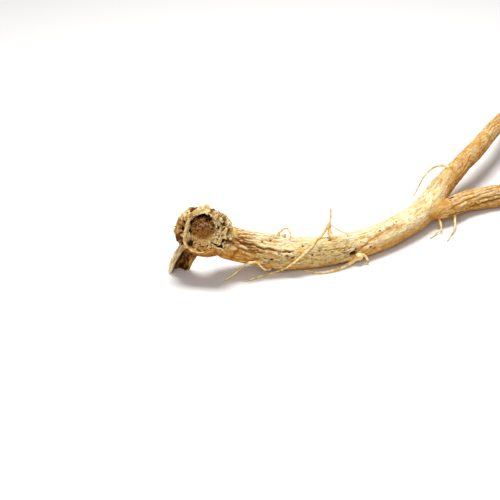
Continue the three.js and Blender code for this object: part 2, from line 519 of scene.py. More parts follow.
def shape_main_spots(bark):
    bark.pits(MAIN_PITS, depth=0.5)
    bark.pits([KNOB_CAVITY], depth=2.2)
    bark.paint("amber", bark.hollow(AMBER_HALO, 2.0))
    bark.relief += 1.2 * bark.hollow(KNOB)
    bark.relief += 1.0 * bark.hollow(NUB, 2.0)
    pits = bark.random_dents(
        seed=31, count=110, span=(14, 370), sizes=(0.3, 0.6), stretch=(1.0, 1.8), depths=(0.15, 0.4))
    bark.paint("pit", 0.8 * pits)
    nicks = bark.random_dents(
        seed=32, count=150, span=(20, 372), sizes=(0.5, 1.2), stretch=(0.25, 0.45), depths=(0.1, 0.25))
    bark.masks["groove"] += 0.6 * nicks
    bark.random_dents(
        seed=33, count=60, span=(34, 360), sizes=(0.5, 1.0), stretch=(1.2, 2.4), depths=(-0.35, -0.12))


def paint_body(bark):
    """Cream on the upper body, partly its pale tone and partly painted highlight on the top, grey and
    flecked along its front, and painted shade underneath.
    """
    arc = bark.arc
    angle = bark.angle
    masks = bark.masks
    # Cream on the top is partly the bark's pale tone and partly painted highlight where the top faces the
    # light.
    upper = band(math.radians(30), math.radians(60), 2.2, 2.9, angle)
    bark.paint("cream", 0.9 * upper * smooth_step(16, 30, arc))
    bark.paint("cream", 0.7 * band(84, 96, 130, 170, arc) * band(-0.5, 0.2, 2.2, 2.9, angle))
    masks["cream"] *= 1 - 0.7 * smooth_step(165, 195, arc)
    bark.paint("grey", band(-0.7, -0.2, 0.55, 0.75, angle) * band(26, 38, 78, 90, arc))
    bark.paint("grey", band(-0.5, 0, 1.0, 1.4, angle) * band(52, 64, 80, 92, arc))
    masks["fleck"] = 0.25 + 0.75 * masks["grey"]
    # Painted shade on the underside, weaker where the bark is grey.
    shaded_underside = smooth_step(-0.15, 0.6, -np.sin(angle - 0.42))
    masks["tone_and_shade"] = 0.95 * shaded_underside * (1 - 0.55 * masks["grey"])


def paint_neck_and_leg(bark, grain):
    """Brown and amber on the neck's front, amber in the fork and along the far branch."""
    arc = bark.arc
    angle = bark.angle
    bark.paint("crown", 0.3 * (1 - smooth_step(10, 24, arc)) * (1 - smooth_step(0.4, 0.9, angle)))
    bark.paint("amber", 0.6 * (1 - smooth_step(18, 30, arc)) * (1 - smooth_step(0.3, 0.7, angle)))
    fork = creases(arc - FORK_LENGTH, 9) * smooth_step(0.7, 0.2, angle) * smooth_step(-1.2, -0.5, angle)
    bark.paint("amber", 0.5 * fork)
    leg = smooth_step(150, 185, arc)
    bark.paint("amber", 0.45 * leg * (0.75 + 0.5 * fine_noise.at(grain / 5 + 33)))
    bark.paint("tone_and_shade", 0.5 * leg)
    bark.paint("fleck", 0.5 * leg)


# The side limb

# Long furrows: path, half width and depth.
SIDE_FURROWS = [
    ([(14, -14), (19, -12), (26, -24), (34, -14), (44, -4), (52, 4), (64, 14)], 0.7, 0.9),
    ([(15, 30), (26, 40), (35, 40), (48, 56), (58, 62)], 0.6, 0.6),
    ([(22, 78), (36, 70), (46, 72), (62, 84)], 0.5, 0.45),
    ([(40, 20), (52, 28), (70, 36), (88, 34)], 0.6, 0.5),
    ([(60, -20), (80, -10), (104, 0)], 0.6, 0.5),
]
SIDE_PITS = [(24, 112, 2.6, 1.0), (20, 84, 0.9, 0.4), (38, 8, 0.9, 0.5), (57, 48, 0.8, 0.5)]
SIDE_STRENGTH = 0.62
SIDE_GRAIN_SHIFT = 300


def side_relief(arc, angle, radius, grain):
    bark = Bark(arc, angle, radius, grain + SIDE_GRAIN_SHIFT, np.full(len(arc), SIDE_STRENGTH))
    for path, width, depth in SIDE_FURROWS:
        bark.cut(bark.furrow(path, width, depth), 1.1)
    long_furrows = bark.random_furrows(
        seed=41, count=24, span=(-10, 130), depths=(0.1, 0.32), widths=(0.3, 0.7), lengths=(20, 70))
    bark.cut(long_furrows, 1.4)
    pits = bark.random_dents(
        seed=42, count=50, span=(12, 148), sizes=(0.3, 0.6), stretch=(1.0, 2.2), depths=(0.15, 0.35))
    bark.paint("pit", 0.8 * pits)
    bark.pits(SIDE_PITS, depth=0.5, darkness=0.9)
    nicks = bark.random_dents(
        seed=43, count=50, span=(12, 148), sizes=(0.5, 1.1), stretch=(0.25, 0.45), depths=(0.1, 0.22))
    bark.masks["groove"] += 0.6 * nicks
    paint_side(bark)
    return bark


def paint_side(bark):
    """Amber along the whole limb, a darker tone all round with painted shade underneath, and cream on top
    past the fork, partly painted highlight.
    """
    arc = bark.arc
    angle = bark.angle
    masks = bark.masks
    masks["crown"] = 0.45 * creases(arc - 15, 8) * arc_of(angle, 10, 110)
    masks["fleck"] += 0.4
    # A darker tone all round, plus painted shade on the underside; the amber rises with it.
    masks["tone_and_shade"] = 0.35 + 0.55 * smooth_step(-0.1, 0.7, -np.sin(angle - 0.35))
    masks["amber"] = np.maximum(0.42 + 0.2 * masks["tone_and_shade"], 0.5 * (1 - smooth_step(14, 34, arc)))
    # Cream on the top, partly the bark's pale tone and partly painted highlight.
    masks["cream"] = 0.35 * smooth_step(0.2, 0.9, np.sin(angle - 0.25)) * smooth_step(20, 40, arc)


# Skins: closed meshes with their masks and their grain

def limb_stops(limb, start, fine_until, fine_step, coarse_step):
    """Lengths of the rings along a limb, closer together up to fine_until."""
    stops = [start]
    while stops[-1] < limb.length - 0.4:
        stops.append(stops[-1] + (fine_step if stops[-1] < fine_until else coarse_step))
    stops[-1] = limb.length
    return stops


def limb_skin(limb, stops, sides, relief_of, taper):
    """One closed skin over a limb, with its relief, masks and grain."""
    arc, turn = np.meshgrid(stops, np.arange(sides) * FULL_TURN / sides, indexing="ij")
    arc = arc.ravel()
    angle = wrapped(turn.ravel())
    radius = limb.section(arc)[4]
    grain = grain_of(arc, angle, radius)
    bark = relief_of(arc, angle, radius, grain)
    quiet = np.clip(radius / 5.0, 0.25, 1.0)
    places, _ = limb.surface(arc, angle, bark.relief * quiet, taper(arc))
    ends = [stops[0], limb.length]
    places = above_floor(np.vstack([places, limb.section(np.array(ends))[1]]))
    grain = np.vstack([grain, [[0, 0, end] for end in ends]])
    masks = {name: np.concatenate([values, [0, 0]]) for name, values in bark.masks.items()}
    return places, ring_faces(len(stops), sides), masks, grain


def main_taper(arc):
    """The main limb starts thin, inside the crown."""
    return 0.55 + 0.45 * smooth_step(5, 13, arc)


def side_taper(arc):
    """The side limb starts thin, inside the main limb."""
    return 0.7 + 0.3 * smooth_step(0, 12, arc)


# The crown, in its own frame: right, upward and out of the scar

facing = unit(CROWN_FACING)
right = unit(np.cross(UP, facing))
upward = np.cross(facing, right)
CROWN_AXES = np.array([right, upward, facing])


def from_crown(across, along, out):
    """Places given in the crown's frame, as places of the root."""
    return CROWN_CENTRE + np.stack([across, along, out], axis=-1) @ CROWN_AXES


def crown_reach(turn):
    """How far the crown's outline is from its middle at an angle."""
    table = sorted(CROWN_OUTLINE)
    angles = np.radians([angle for angle, _ in table])
    reaches = np.array([reach for _, reach in table])
    longer = np.concatenate([angles - FULL_TURN, angles, angles + FULL_TURN])
    return np.interp(turn, longer, np.tile(reaches, 3))


HEART_CENTRE = (-0.7, 3.0)
HEART_SIZE = (6.7, 6.8)
RING_CENTRE = (-0.3, 0.7)
FACE_HEIGHT = 5.2
# Crevices that follow the layers: distance from the ring's centre, half width, first and last
# angle in degrees, and depth.
CREVICES = [
    (9.8, 0.4, 212, 292, 1.5), (11.0, 0.55, 320, 350, 2.6), (11.8, 0.8, 178, 216, 3.2),
    (10.3, 0.4, 128, 182, 1.8), (10.4, 0.4, 2, 56, 1.8), (12.7, 0.45, -26, 24, 1.6),
    (8.9, 0.65, 58, 126, 2.4), (13.1, 0.4, 28, 64, 1.5), (12.9, 0.45, 216, 236, 1.4),
    (12.6, 0.4, 120, 156, 1.8), (8.4, 0.35, 330, 360, 1.2),
]
# Holes: across, along, half width, half height and depth.
FACE_PITS = [
    (2.0, -6.2, 0.4, 0.5, 0.9), (0.0, -6.7, 0.5, 0.35, 0.8), (-1.9, -5.5, 0.4, 0.4, 0.8),
    (4.2, -5.7, 0.4, 0.4, 0.8), (-4.6, -5.4, 0.35, 0.5, 0.8), (6.4, 0.6, 0.4, 0.6, 1.2),
    (4.6, -4.3, 0.9, 0.4, 1.8), (6.3, -5.1, 1.0, 0.45, 2.6), (8.1, -5.9, 0.9, 0.45, 2.6),
    (1.4, 8.0, 1.8, 0.6, 2.6), (-4.7, 4.7, 0.4, 1.1, 1.4), (7.3, 4.2, 0.7, 1.1, 2.6),
    (12.0, 0.8, 0.7, 1.2, 2.2), (7.1, -2.2, 0.6, 0.4, 1.3), (4.0, -7.4, 0.5, 0.3, 0.8),
    (-10.6, 5.8, 0.4, 0.9, 1.4), (-11.6, 2.2, 0.35, 1.1, 1.4), (-12.0, 8.4, 0.5, 0.6, 1.2),
    (9.8, 6.2, 0.7, 0.5, 1.6), (5.4, 7.6, 0.8, 0.4, 1.4), (-12.4, -4.6, 0.5, 0.9, 1.8),
    (12.9, -3.4, 0.4, 0.8, 1.2), (9.8, 0.2, 0.35, 0.5, 1.0), (-7.6, -5.5, 1.5, 1.8, 6.8),
    (-5.6, 9.6, 0.9, 0.5, 1.8),
]


class CrownFace:
    """The crown's face at some places: its zones, how far it stands out, and its masks."""

    def __init__(self, across, along):
        self.across = across
        self.along = along
        self.flat = np.stack([across, along, np.zeros(len(across))], axis=1)
        self.masks = blank_masks(len(across))
        self.find_zones()
        self.raise_texture()
        self.carve_crevices()
        self.carve_holes()
        self.carve_heart()
        self.paint_heart()
        self.paint_rim()

    def find_zones(self):
        """The heart of old stem, the ring round it, the knobbly rim and the smooth band below."""
        ragged = 0.6 * crown_noise.at(self.flat / 2.6 + 9) + 0.3 * crown_noise.at(self.flat / 1.1 + 19)
        heart_x = (self.across - HEART_CENTRE[0]) / HEART_SIZE[0]
        heart_y = (self.along - HEART_CENTRE[1]) / HEART_SIZE[1]
        self.heart_far = np.hypot(heart_x, heart_y) + 0.17 * ragged
        self.heart_turn = np.arctan2(heart_y, heart_x)
        ring_x = self.across - RING_CENTRE[0]
        ring_y = self.along - RING_CENTRE[1]
        self.ring_far = np.hypot(ring_x, ring_y) + 1.25 * ragged
        self.ring_turn = np.arctan2(ring_y, ring_x)
        blur = 0.05 + 0.16 * arc_of(self.heart_turn, 215, 350)
        self.heart = 1 - smooth_step(0, 1, (self.heart_far - 1.0 + 1.6 * blur) / (2.2 * blur))
        self.upper_heart = self.heart * smooth_step(0, 4.5, self.along)
        self.ring = (1 - smooth_step(9.2, 9.9, self.ring_far)) * (1 - self.heart)
        self.ring_clumps = self.ring * arc_of(self.heart_turn, -75, 50)
        self.outer = smooth_step(9.4, 10.8, self.ring_far)
        self.lower_band = self.outer * arc_of(self.ring_turn, 218, 322)
        self.rim = self.outer - self.lower_band

    def raise_texture(self):
        """Rays and curls in the heart, crumbs on the ring and folds on the rim."""
        flat = self.flat
        spun = np.stack([4.5 * self.heart_turn, 1.2 * self.heart_far, 0 * self.across], axis=1)
        self.rays = fine_noise.at(spun + 5)
        self.rough = crown_noise.layered(flat / 1.5 + 31, 3)
        self.twist = 1 - 2.2 * np.abs(crown_noise.at(flat / np.array([2.6, 1.5, 1]) + 47))
        self.clumps = cells(flat / 2.1 + 70, 7) - 0.45
        self.folds = 1 - 2.4 * np.abs(crown_noise.at(flat / np.array([3.0, 5.0, 1]) + 90))
        height = FACE_HEIGHT + 0.6 * self.heart * (1 - self.heart_far**2) + 1.6 * self.outer
        height += self.heart * (0.4 * self.rays + 0.14 * self.rough)
        height += self.upper_heart * (1.0 * self.twist + 0.4 * self.rough - 0.6)
        height += self.ring * 0.35 * self.rough + self.ring_clumps * (1.7 * self.clumps + 0.3)
        height += self.rim * (1.2 * self.folds + 0.45 * self.rough)
        self.height = height + 0.12 * self.lower_band * self.rough

    def carve_crevices(self):
        broken = np.clip(0.85 + 0.8 * crown_noise.at(self.flat / 2.4 + 55), 0.3, 1.3)
        gap = 2.8 * creases(self.heart_far - 1.07, 0.08) * arc_of(self.heart_turn, 50, 216) * broken
        self.height -= gap
        # The crevices are painted dark by their depth, as painted shade.
        self.dark = gap / 1.9
        for radius, width, first, last, depth in CREVICES:
            share = creases(self.ring_far - radius, width) * arc_of(self.ring_turn, first, last) * broken
            self.height -= depth * share
            self.dark = np.maximum(self.dark, share * min(1.0, depth / 2.6))

    def carve_holes(self):
        torn_x = self.across + 0.4 * crown_noise.at(self.flat / 0.9 + 131)
        torn_y = self.along + 0.4 * crown_noise.at(self.flat / 0.9 + 151)
        for x, y, wide, tall, depth in FACE_PITS:
            share = np.exp(-(np.hypot((torn_x - x) / wide, (torn_y - y) / tall) ** 3))
            self.height -= depth * share
            # Each hole is painted dark, as painted shade.
            self.dark = np.maximum(self.dark, share)

    def carve_heart(self):
        """Dark gaps between the curled fibres of the upper heart, sunk and painted dark as painted shade."""
        gaps = crown_noise.layered(self.flat / np.array([1.9, 1.3, 1]) + 113, 2)
        gaps = smooth_step(0.3, 0.6, gaps)
        self.height -= 1.1 * self.upper_heart * gaps
        low = np.maximum(0.95 * gaps, 0.5 * smooth_step(-0.1, -0.9, self.twist))
        self.dark = np.maximum(self.dark, self.upper_heart * low)
        arch = self.heart * smooth_step(0.5, 0.9, self.heart_far) * arc_of(self.heart_turn, 20, 150)
        self.masks["pit"] = np.clip(np.maximum(self.dark, 0.55 * arch), 0, 1)

    def paint_heart(self):
        masks = self.masks
        masks["heart"] = self.heart
        masks["groove"] = self.upper_heart * np.clip(0.5 - self.twist, 0, 1)
        masks["groove"] += (self.heart - self.upper_heart) * np.clip(-3.0 * self.rays, 0, 1.0)
        masks["cream"] = 0.6 * self.upper_heart * smooth_step(0.2, 0.8, self.twist)
        masks["tone_and_shade"] = 0.35 * self.heart

    def paint_rim(self):
        """Pale crumbs and folds on brown bark, darker towards the left with painted shade there, and the
        band below painted amber and brown as painted shade.
        """
        masks = self.masks
        flat = self.flat
        # Painted shade in the dips between the folds.
        masks["groove"] += self.rim * np.clip(0.5 - self.folds, 0, 1)
        bright = np.clip(0.6 * self.rough + 0.7 * self.folds, 0, 1) * self.rim
        raise_mask(masks, "cream", 0.8 * bright)
        raise_mask(masks, "cream", self.ring_clumps * smooth_step(0.0, 0.25, self.clumps))
        grey_rim = self.outer * smooth_step(0, 0.5, crown_noise.at(flat / 4 + 12))
        masks["grey"] = 0.6 * self.ring_clumps + 0.4 * grey_rim
        # The band below is painted amber, brown and darker as painted shade where it faces down.
        masks["amber"] = 0.95 * self.lower_band + 0.5 * self.ring * smooth_step(-2.5, -4.5, self.along)
        left_side = smooth_step(2, -8, self.across)
        patch = smooth_step(-0.35, 0.25, crown_noise.at(flat / 3.0 + 63))
        ring_brown = 0.6 + 0.4 * smooth_step(-0.3, 0.3, crown_noise.at(flat / 2.2 + 21))
        masks["crown"] = self.rim * np.maximum(0.95 * patch, 0.8 * left_side)
        raise_mask(masks, "crown", 0.8 * self.lower_band)
        raise_mask(masks, "crown", (self.ring - self.ring_clumps) * ring_brown)
        masks["fleck"] = 0.3 + 0.5 * self.ring
        raise_mask(masks, "tone_and_shade", 0.95 * self.lower_band)
        # Painted shade on the left side of the rim.
        raise_mask(masks, "tone_and_shade", 0.55 * self.outer * left_side)


# How the crown's skin is divided: the face, the rounded edge and the back, as rings of points.
CROWN_SIDES = 240
CROWN_GRAIN_SHIFT = 500
FACE_RINGS = 58
EDGE_RINGS = 15
BACK_RINGS = 30
EDGE_FROM = 0.78


def crown_rings():
    """The crown before its sides are roughened: places in its frame, masks and the ring count."""
    turns = wrapped(np.arange(CROWN_SIDES) * FULL_TURN / CROWN_SIDES)
    reach = crown_reach(turns)
    rows = []

    def add_row(share, flatten):
        across = share * reach * np.cos(turns)
        along = share * reach * np.sin(turns)
        face = CrownFace(across, along)
        rows.append((across, along, face.height * flatten, face.masks))

    for ring in range(1, FACE_RINGS + 1):
        add_row(EDGE_FROM * ring / FACE_RINGS, 1.0)
    for ring in range(1, EDGE_RINGS + 1):
        tilt = 0.5 * math.pi * ring / EDGE_RINGS
        add_row(EDGE_FROM + (1 - EDGE_FROM) * math.sin(tilt), math.cos(tilt))
    for ring in range(1, BACK_RINGS):
        tilt = 0.5 * math.pi * ring / BACK_RINGS
        spread = reach * math.cos(tilt)
        depth = np.full(CROWN_SIDES, -CROWN_DEPTH * math.sin(tilt))
        rows.append((spread * np.cos(turns), spread * np.sin(turns), depth, blank_masks(CROWN_SIDES)))
    rings = len(rows)
    middle = np.zeros(1)
    face = CrownFace(middle, middle)
    rows.append((middle, middle, face.height, face.masks))
    rows.append((middle, middle, middle - CROWN_DEPTH, blank_masks(1)))
    local = np.vstack([np.stack(row[:3], axis=1) for row in rows])
    masks = {name: np.concatenate([row[3][name] for row in rows]) for name in MASKS}
    return local, masks, rings


def crown_skin():
    """The crown's closed skin, with knuckles on its sides and bark lines on its back."""
    local, masks, rings = crown_rings()
    across, along, out = local.T
    turn = np.arctan2(along, across)
    far = np.hypot(across - RING_CENTRE[0], along - RING_CENTRE[1])
    outside = smooth_step(10.2, 12.2, far)
    below = arc_of(turn, 215, 320)
    behind = smooth_step(2.0, -3.5, out)
    lumpy = outside * (1 - 0.85 * below)

    knuckles = cells(local / 4.4 + 3, 5) - 0.45
    folds = 1 - 2.4 * np.abs(crown_noise.at(local / np.array([3.4, 3.4, 6.0]) + 33))
    rough = crown_noise.layered(local / 1.9, 3)
    spun = np.stack([1.3 * np.cos(turn), 1.3 * np.sin(turn), 0.06 * out], axis=1)
    bark_lines = creases(crown_noise.at(spun * 2.4 + 210), 0.2)
    bark_lines = bark_lines + 0.6 * creases(fine_noise.at(spun * 5.0 + 240), 0.25)
    bulge = lumpy * (1.9 * knuckles + 1.0 * folds + 0.4 * rough) + 0.15 * rough * outside
    bulge -= behind * (0.55 * bark_lines - 0.3 * rough)
    local = local + unit(np.stack([across, along, 0.6 * out], axis=1)) * bulge[:, None]

    # Painted shade in the dips between the knuckles.
    raise_mask(masks, "groove", lumpy * np.clip(0.3 - 1.1 * knuckles - 0.5 * folds, 0, 1))
    wrinkles = fine_noise.at(np.stack([0.9 * out, 2.6 * turn, 0.5 * far], axis=1) + 11)
    masks["groove"] += 0.4 * outside * creases(crown_noise.at(local / 2.2 + 70), 0.1)
    masks["groove"] += 0.6 * behind * bark_lines
    masks["groove"] += 0.55 * outside * below * creases(wrinkles, 0.16)
    high = 0.9 * lumpy * smooth_step(0.3, 0.9, 0.9 * knuckles + 0.5 * folds + 0.3 * rough)
    raise_mask(masks, "cream", high * smooth_step(-7, 3, along))
    raise_mask(masks, "fleck", 0.5)
    left_side = smooth_step(0, -9, across)
    right_side = smooth_step(2, 9, across)
    brown = 0.5 + 0.5 * crown_noise.at(local / 4.0) + 0.45 * left_side - 0.25 * right_side
    brown = np.clip(brown, 0, 1) * (1 - 0.5 * behind)
    # Below the crown the brown, amber and darkening masks are painted shade on the downward face; the
    # darkening on the left side is painted shade too.
    raise_mask(masks, "crown", outside * np.maximum(brown, 0.95 * below))
    raise_mask(masks, "amber", 0.95 * outside * below)
    raise_mask(masks, "tone_and_shade", outside * np.maximum(0.95 * below, 0.45 * left_side))
    places = above_floor(from_crown(*local.T))
    return places, ring_faces(rings, CROWN_SIDES), masks, local + CROWN_GRAIN_SHIFT


# The broken stub: a wall peeled open towards the camera's side of the root

STUB_SIDES = 72
STUB_OUTER_RINGS = 34
STUB_INNER_RINGS = 22
STUB_START = 3.0
STUB_TORN_TO = 7.5
STUB_BOTTOM = 6.0
STUB_WALL = 2.2
STUB_GRAIN_SHIFT = 700
STUB_OPEN_TO = (-0.36, -0.93, 0)
STUB_PALE_SIDE = (-1.0, 1.0, 0)


def stub_mouth(turns, out):
    """How far down the stub its wall goes at each angle: to the floor, or to the torn edge."""
    floor_arc = stub_limb.length - 0.5
    openness = smooth_step(0.12, 0.5, out @ unit(np.array(STUB_OPEN_TO)))
    ragged = fine_noise.at(np.stack([3 * np.cos(turns), 3 * np.sin(turns), 0 * turns], axis=1))
    return floor_arc + (STUB_TORN_TO - floor_arc) * openness + 1.6 * ragged * openness


def stub_outer_ring(turns, pale, arc, inset):
    """One ring of the stub's bark: places, masks and grain."""
    grain = grain_of(arc, turns, stub_limb.section(arc)[4]) + STUB_GRAIN_SHIFT
    relief, groove = common_bark(grain, np.full(STUB_SIDES, 1.0))
    masks = blank_masks(STUB_SIDES)
    masks["groove"] = groove
    masks["crown"] = 0.95 - 0.8 * pale
    masks["cream"] = 0.95 * pale
    # Painted shadow: a dark collar where the stub leaves the crown.
    masks["pit"] = 0.9 - 0.9 * smooth_step(4, 6.5, arc)
    masks["fleck"] += 0.4
    # A darker tone with painted shade on the side away from the pale strip.
    masks["tone_and_shade"] = 0.7 - 0.7 * pale
    places, _ = stub_limb.surface(arc, turns, relief * 0.7 - inset)
    return places, masks, grain


def stub_inner_ring(turns, arc, inset):
    """One ring of the stub's crumbled inside, brown and painted dark as painted shade."""
    grain = grain_of(arc, turns, stub_limb.section(arc)[4]) + STUB_GRAIN_SHIFT
    relief = 2.2 * (0.5 - cells(grain / 2.6, 9)) + 0.5 * crown_noise.at(grain / 1.2)
    masks = blank_masks(STUB_SIDES)
    masks["groove"] = np.clip(0.3 - relief, 0, 1)
    masks["crown"] += 1.0
    # Painted shade inside the hollow stub.
    masks["pit"] = np.clip(0.5 + 0.4 * relief, 0.2, 0.9)
    masks["fleck"] += 0.4
    masks["tone_and_shade"] += 0.8
    places, _ = stub_limb.surface(arc, turns, relief * 0.7 - inset)
    return places, masks, grain


def stub_skin():
    turns = wrapped(np.arange(STUB_SIDES) * FULL_TURN / STUB_SIDES)
    _, out = stub_limb.surface(np.full(STUB_SIDES, 18.0), turns)
    mouth = stub_mouth(turns, out)
    pale = smooth_step(-0.1, 0.6, out @ unit(np.array(STUB_PALE_SIDE)))
    rows = []
    for ring in range(STUB_OUTER_RINGS):
        share = ring / (STUB_OUTER_RINGS - 1)
        rows.append(stub_outer_ring(turns, pale, STUB_START + (mouth - STUB_START) * share, 0.0))
    rows.append(stub_outer_ring(turns, pale, mouth + 0.35, 0.5 * STUB_WALL))
    for ring in range(STUB_INNER_RINGS):
        share = ring / (STUB_INNER_RINGS - 1)
        closing = max(0.0, (share - 0.7) / 0.3) ** 2 * 0.85
        inset = STUB_WALL + (stub_limb.radii[0] - STUB_WALL) * closing
        rows.append(stub_inner_ring(turns, mouth + (STUB_BOTTOM - mouth) * share, inset))
    ends = stub_limb.section(np.array([STUB_START, STUB_BOTTOM - 0.4]))[1]
    places = above_floor(np.vstack([row[0] for row in rows] + [ends]))
    masks = {name: np.concatenate([row[1][name] for row in rows] + [[0, 0]]) for name in MASKS}
    grain = np.vstack([row[2] for row in rows] + [ends])
    return places, ring_faces(len(rows), STUB_SIDES), masks, grain


# Joining the skins and softening where they meet

SEAM_ROUNDS = 24
SEAM_PULL = 0.6
HOLLOW_ROUNDS = 8
MAIN_SIDES = 120
SIDE_SIDES = 88


def join_skins(skins):
    """One closed mesh from the four skins."""
    objects = [make_object(name, places, faces) for name, (places, faces, _, _) in skins.items()]
    target = objects[0]
    for other in objects[1:]:
        joined = target.modifiers.new("join_" + other.name, "BOOLEAN")
        joined.operation = "UNION"
        joined.solver = "MANIFOLD"
        joined.object = other
    graph = bpy.context.evaluated_depsgraph_get()
    mesh = bpy.data.meshes.new_from_object(target.evaluated_get(graph))
    for each in objects:
        bpy.data.objects.remove(each)
    return mesh


def nearest_tree(places):
    tree = KDTree(len(places))
    for index, place in enumerate(places.tolist()):
        tree.insert(place, index)
    tree.balance()
    return tree


def carry_masks(places, skins):
    """The masks and grain of each place, from the nearest point of any skin, and which skin."""
    trees = [nearest_tree(skin[0]) for skin in skins]
    source = np.zeros(len(places), dtype=int)
    index = np.zeros(len(places), dtype=int)
    for k, place in enumerate(places.tolist()):
        found = [tree.find(place) for tree in trees]
        source[k] = min(range(len(found)), key=lambda which: found[which][2])
        index[k] = found[source[k]][1]
    masks = blank_masks(len(places))
    grain = np.zeros((len(places), 3))
    for which, (_, _, skin_masks, skin_grain) in enumerate(skins):
        mine = source == which
        for name in MASKS:
            masks[name][mine] = skin_masks[name][index[mine]]
        grain[mine] = skin_grain[index[mine]]
    return masks, grain, source


def seam_distance(places, source, count):
    """How far each place is from the nearest place of another skin."""
    groups = [nearest_tree(places[source == which]) for which in range(count)]
    distance = np.zeros(len(places))
    for k, place in enumerate(places.tolist()):
        others = [group for which, group in enumerate(groups) if which != source[k]]
        distance[k] = min(group.find(place)[2] for group in others)
    return distance


def neighbours_average(values, edges):
    count = len(values)
    total = np.zeros_like(values)
    degree = np.bincount(edges.ravel(), minlength=count)
    for column in range(values.shape[1]):
        total[:, column] = np.bincount(edges[:, 0], values[edges[:, 1], column], count)
        total[:, column] += np.bincount(edges[:, 1], values[edges[:, 0], column], count)
    return total / np.maximum(degree, 1)[:, None]


def hollowness(mesh, places, edges):
    """How far each place lies below the smoothed surface around it, in millimetres."""
    flat = np.empty(len(places) * 3, dtype=np.float32)
    mesh.vertex_normals.foreach_get("vector", flat)
    smooth = places.copy()
    for _ in range(HOLLOW_ROUNDS):
        smooth = neighbours_average(smooth, edges)
    sunk = np.sum((smooth - places) * flat.reshape(-1, 3), axis=1)[:, None]
    usual = sunk
    for _ in range(5 * HOLLOW_ROUNDS):
        usual = neighbours_average(usual, edges)
    return (sunk - usual)[:, 0]


def root_piece():
    """The whole root in one closed mesh, with its masks and grain."""
    main_stops = limb_stops(main_limb, start=5.0, fine_until=236, fine_step=0.85, coarse_step=1.5)
    side_stops = limb_stops(side_limb, start=0.0, fine_until=70, fine_step=1.0, coarse_step=1.6)
    skins = {
        "crown_skin": crown_skin(),
        "main_skin": limb_skin(main_limb, main_stops, MAIN_SIDES, main_relief, main_taper),
        "side_skin": limb_skin(side_limb, side_stops, SIDE_SIDES, side_relief, side_taper),
        "stub_skin": stub_skin(),
    }
    mesh = join_skins(skins)
    mesh.name = "root_body"
    places = places_of(mesh)
    masks, grain, source = carry_masks(places, list(skins.values()))
    seam = seam_distance(places, source, len(skins))
    edges = np.empty(len(mesh.edges) * 2, dtype=int)
    mesh.edges.foreach_get("vertices", edges)
    edges = edges.reshape(-1, 2)

    pull = SEAM_PULL * (1 - smooth_step(0.4, 3.2, seam))[:, None]
    packed = np.stack([masks[name] for name in MASKS], axis=1)
    for _ in range(SEAM_ROUNDS):
        places += pull * (neighbours_average(places, edges) - places)
        packed += pull * (neighbours_average(packed, edges) - packed)
    masks = dict(zip(MASKS, packed.T))
    places = above_floor(places)
    mesh.vertices.foreach_set("co", ((places + ORIGIN_SHIFT) * METRES).ravel())
    mesh.polygons.foreach_set("use_smooth", [True] * len(mesh.polygons))
    mesh.update()

    sunk = hollowness(mesh, places, edges)
    # Painted shade and highlight from the shape: hollow darkens places sunk below the surface around them,
    # edge lightens places that stand out.
    masks["hollow"] = smooth_step(0.01, 0.22, sunk)
    masks["edge"] = smooth_step(0.01, 0.2, -sunk)
    masks["seam"] = 1 - smooth_step(0.9, 1.9, seam)
    store_masks(mesh, masks, grain)
    piece = bpy.data.objects.new("root_body", mesh)
    bpy.context.scene.collection.objects.link(piece)
    return piece


# Materials

DRY_SPECULAR = 0.12


def colour(red, green, blue):
    """A screen colour, 0 to 255, as the light values that the shader takes."""
    values = []
    for value in (red, green, blue):
        share = value / 255
        values.append(share / 12.92 if share <= 0.04045 else ((share + 0.055) / 1.055) ** 2.4)
    return (*values, 1.0)


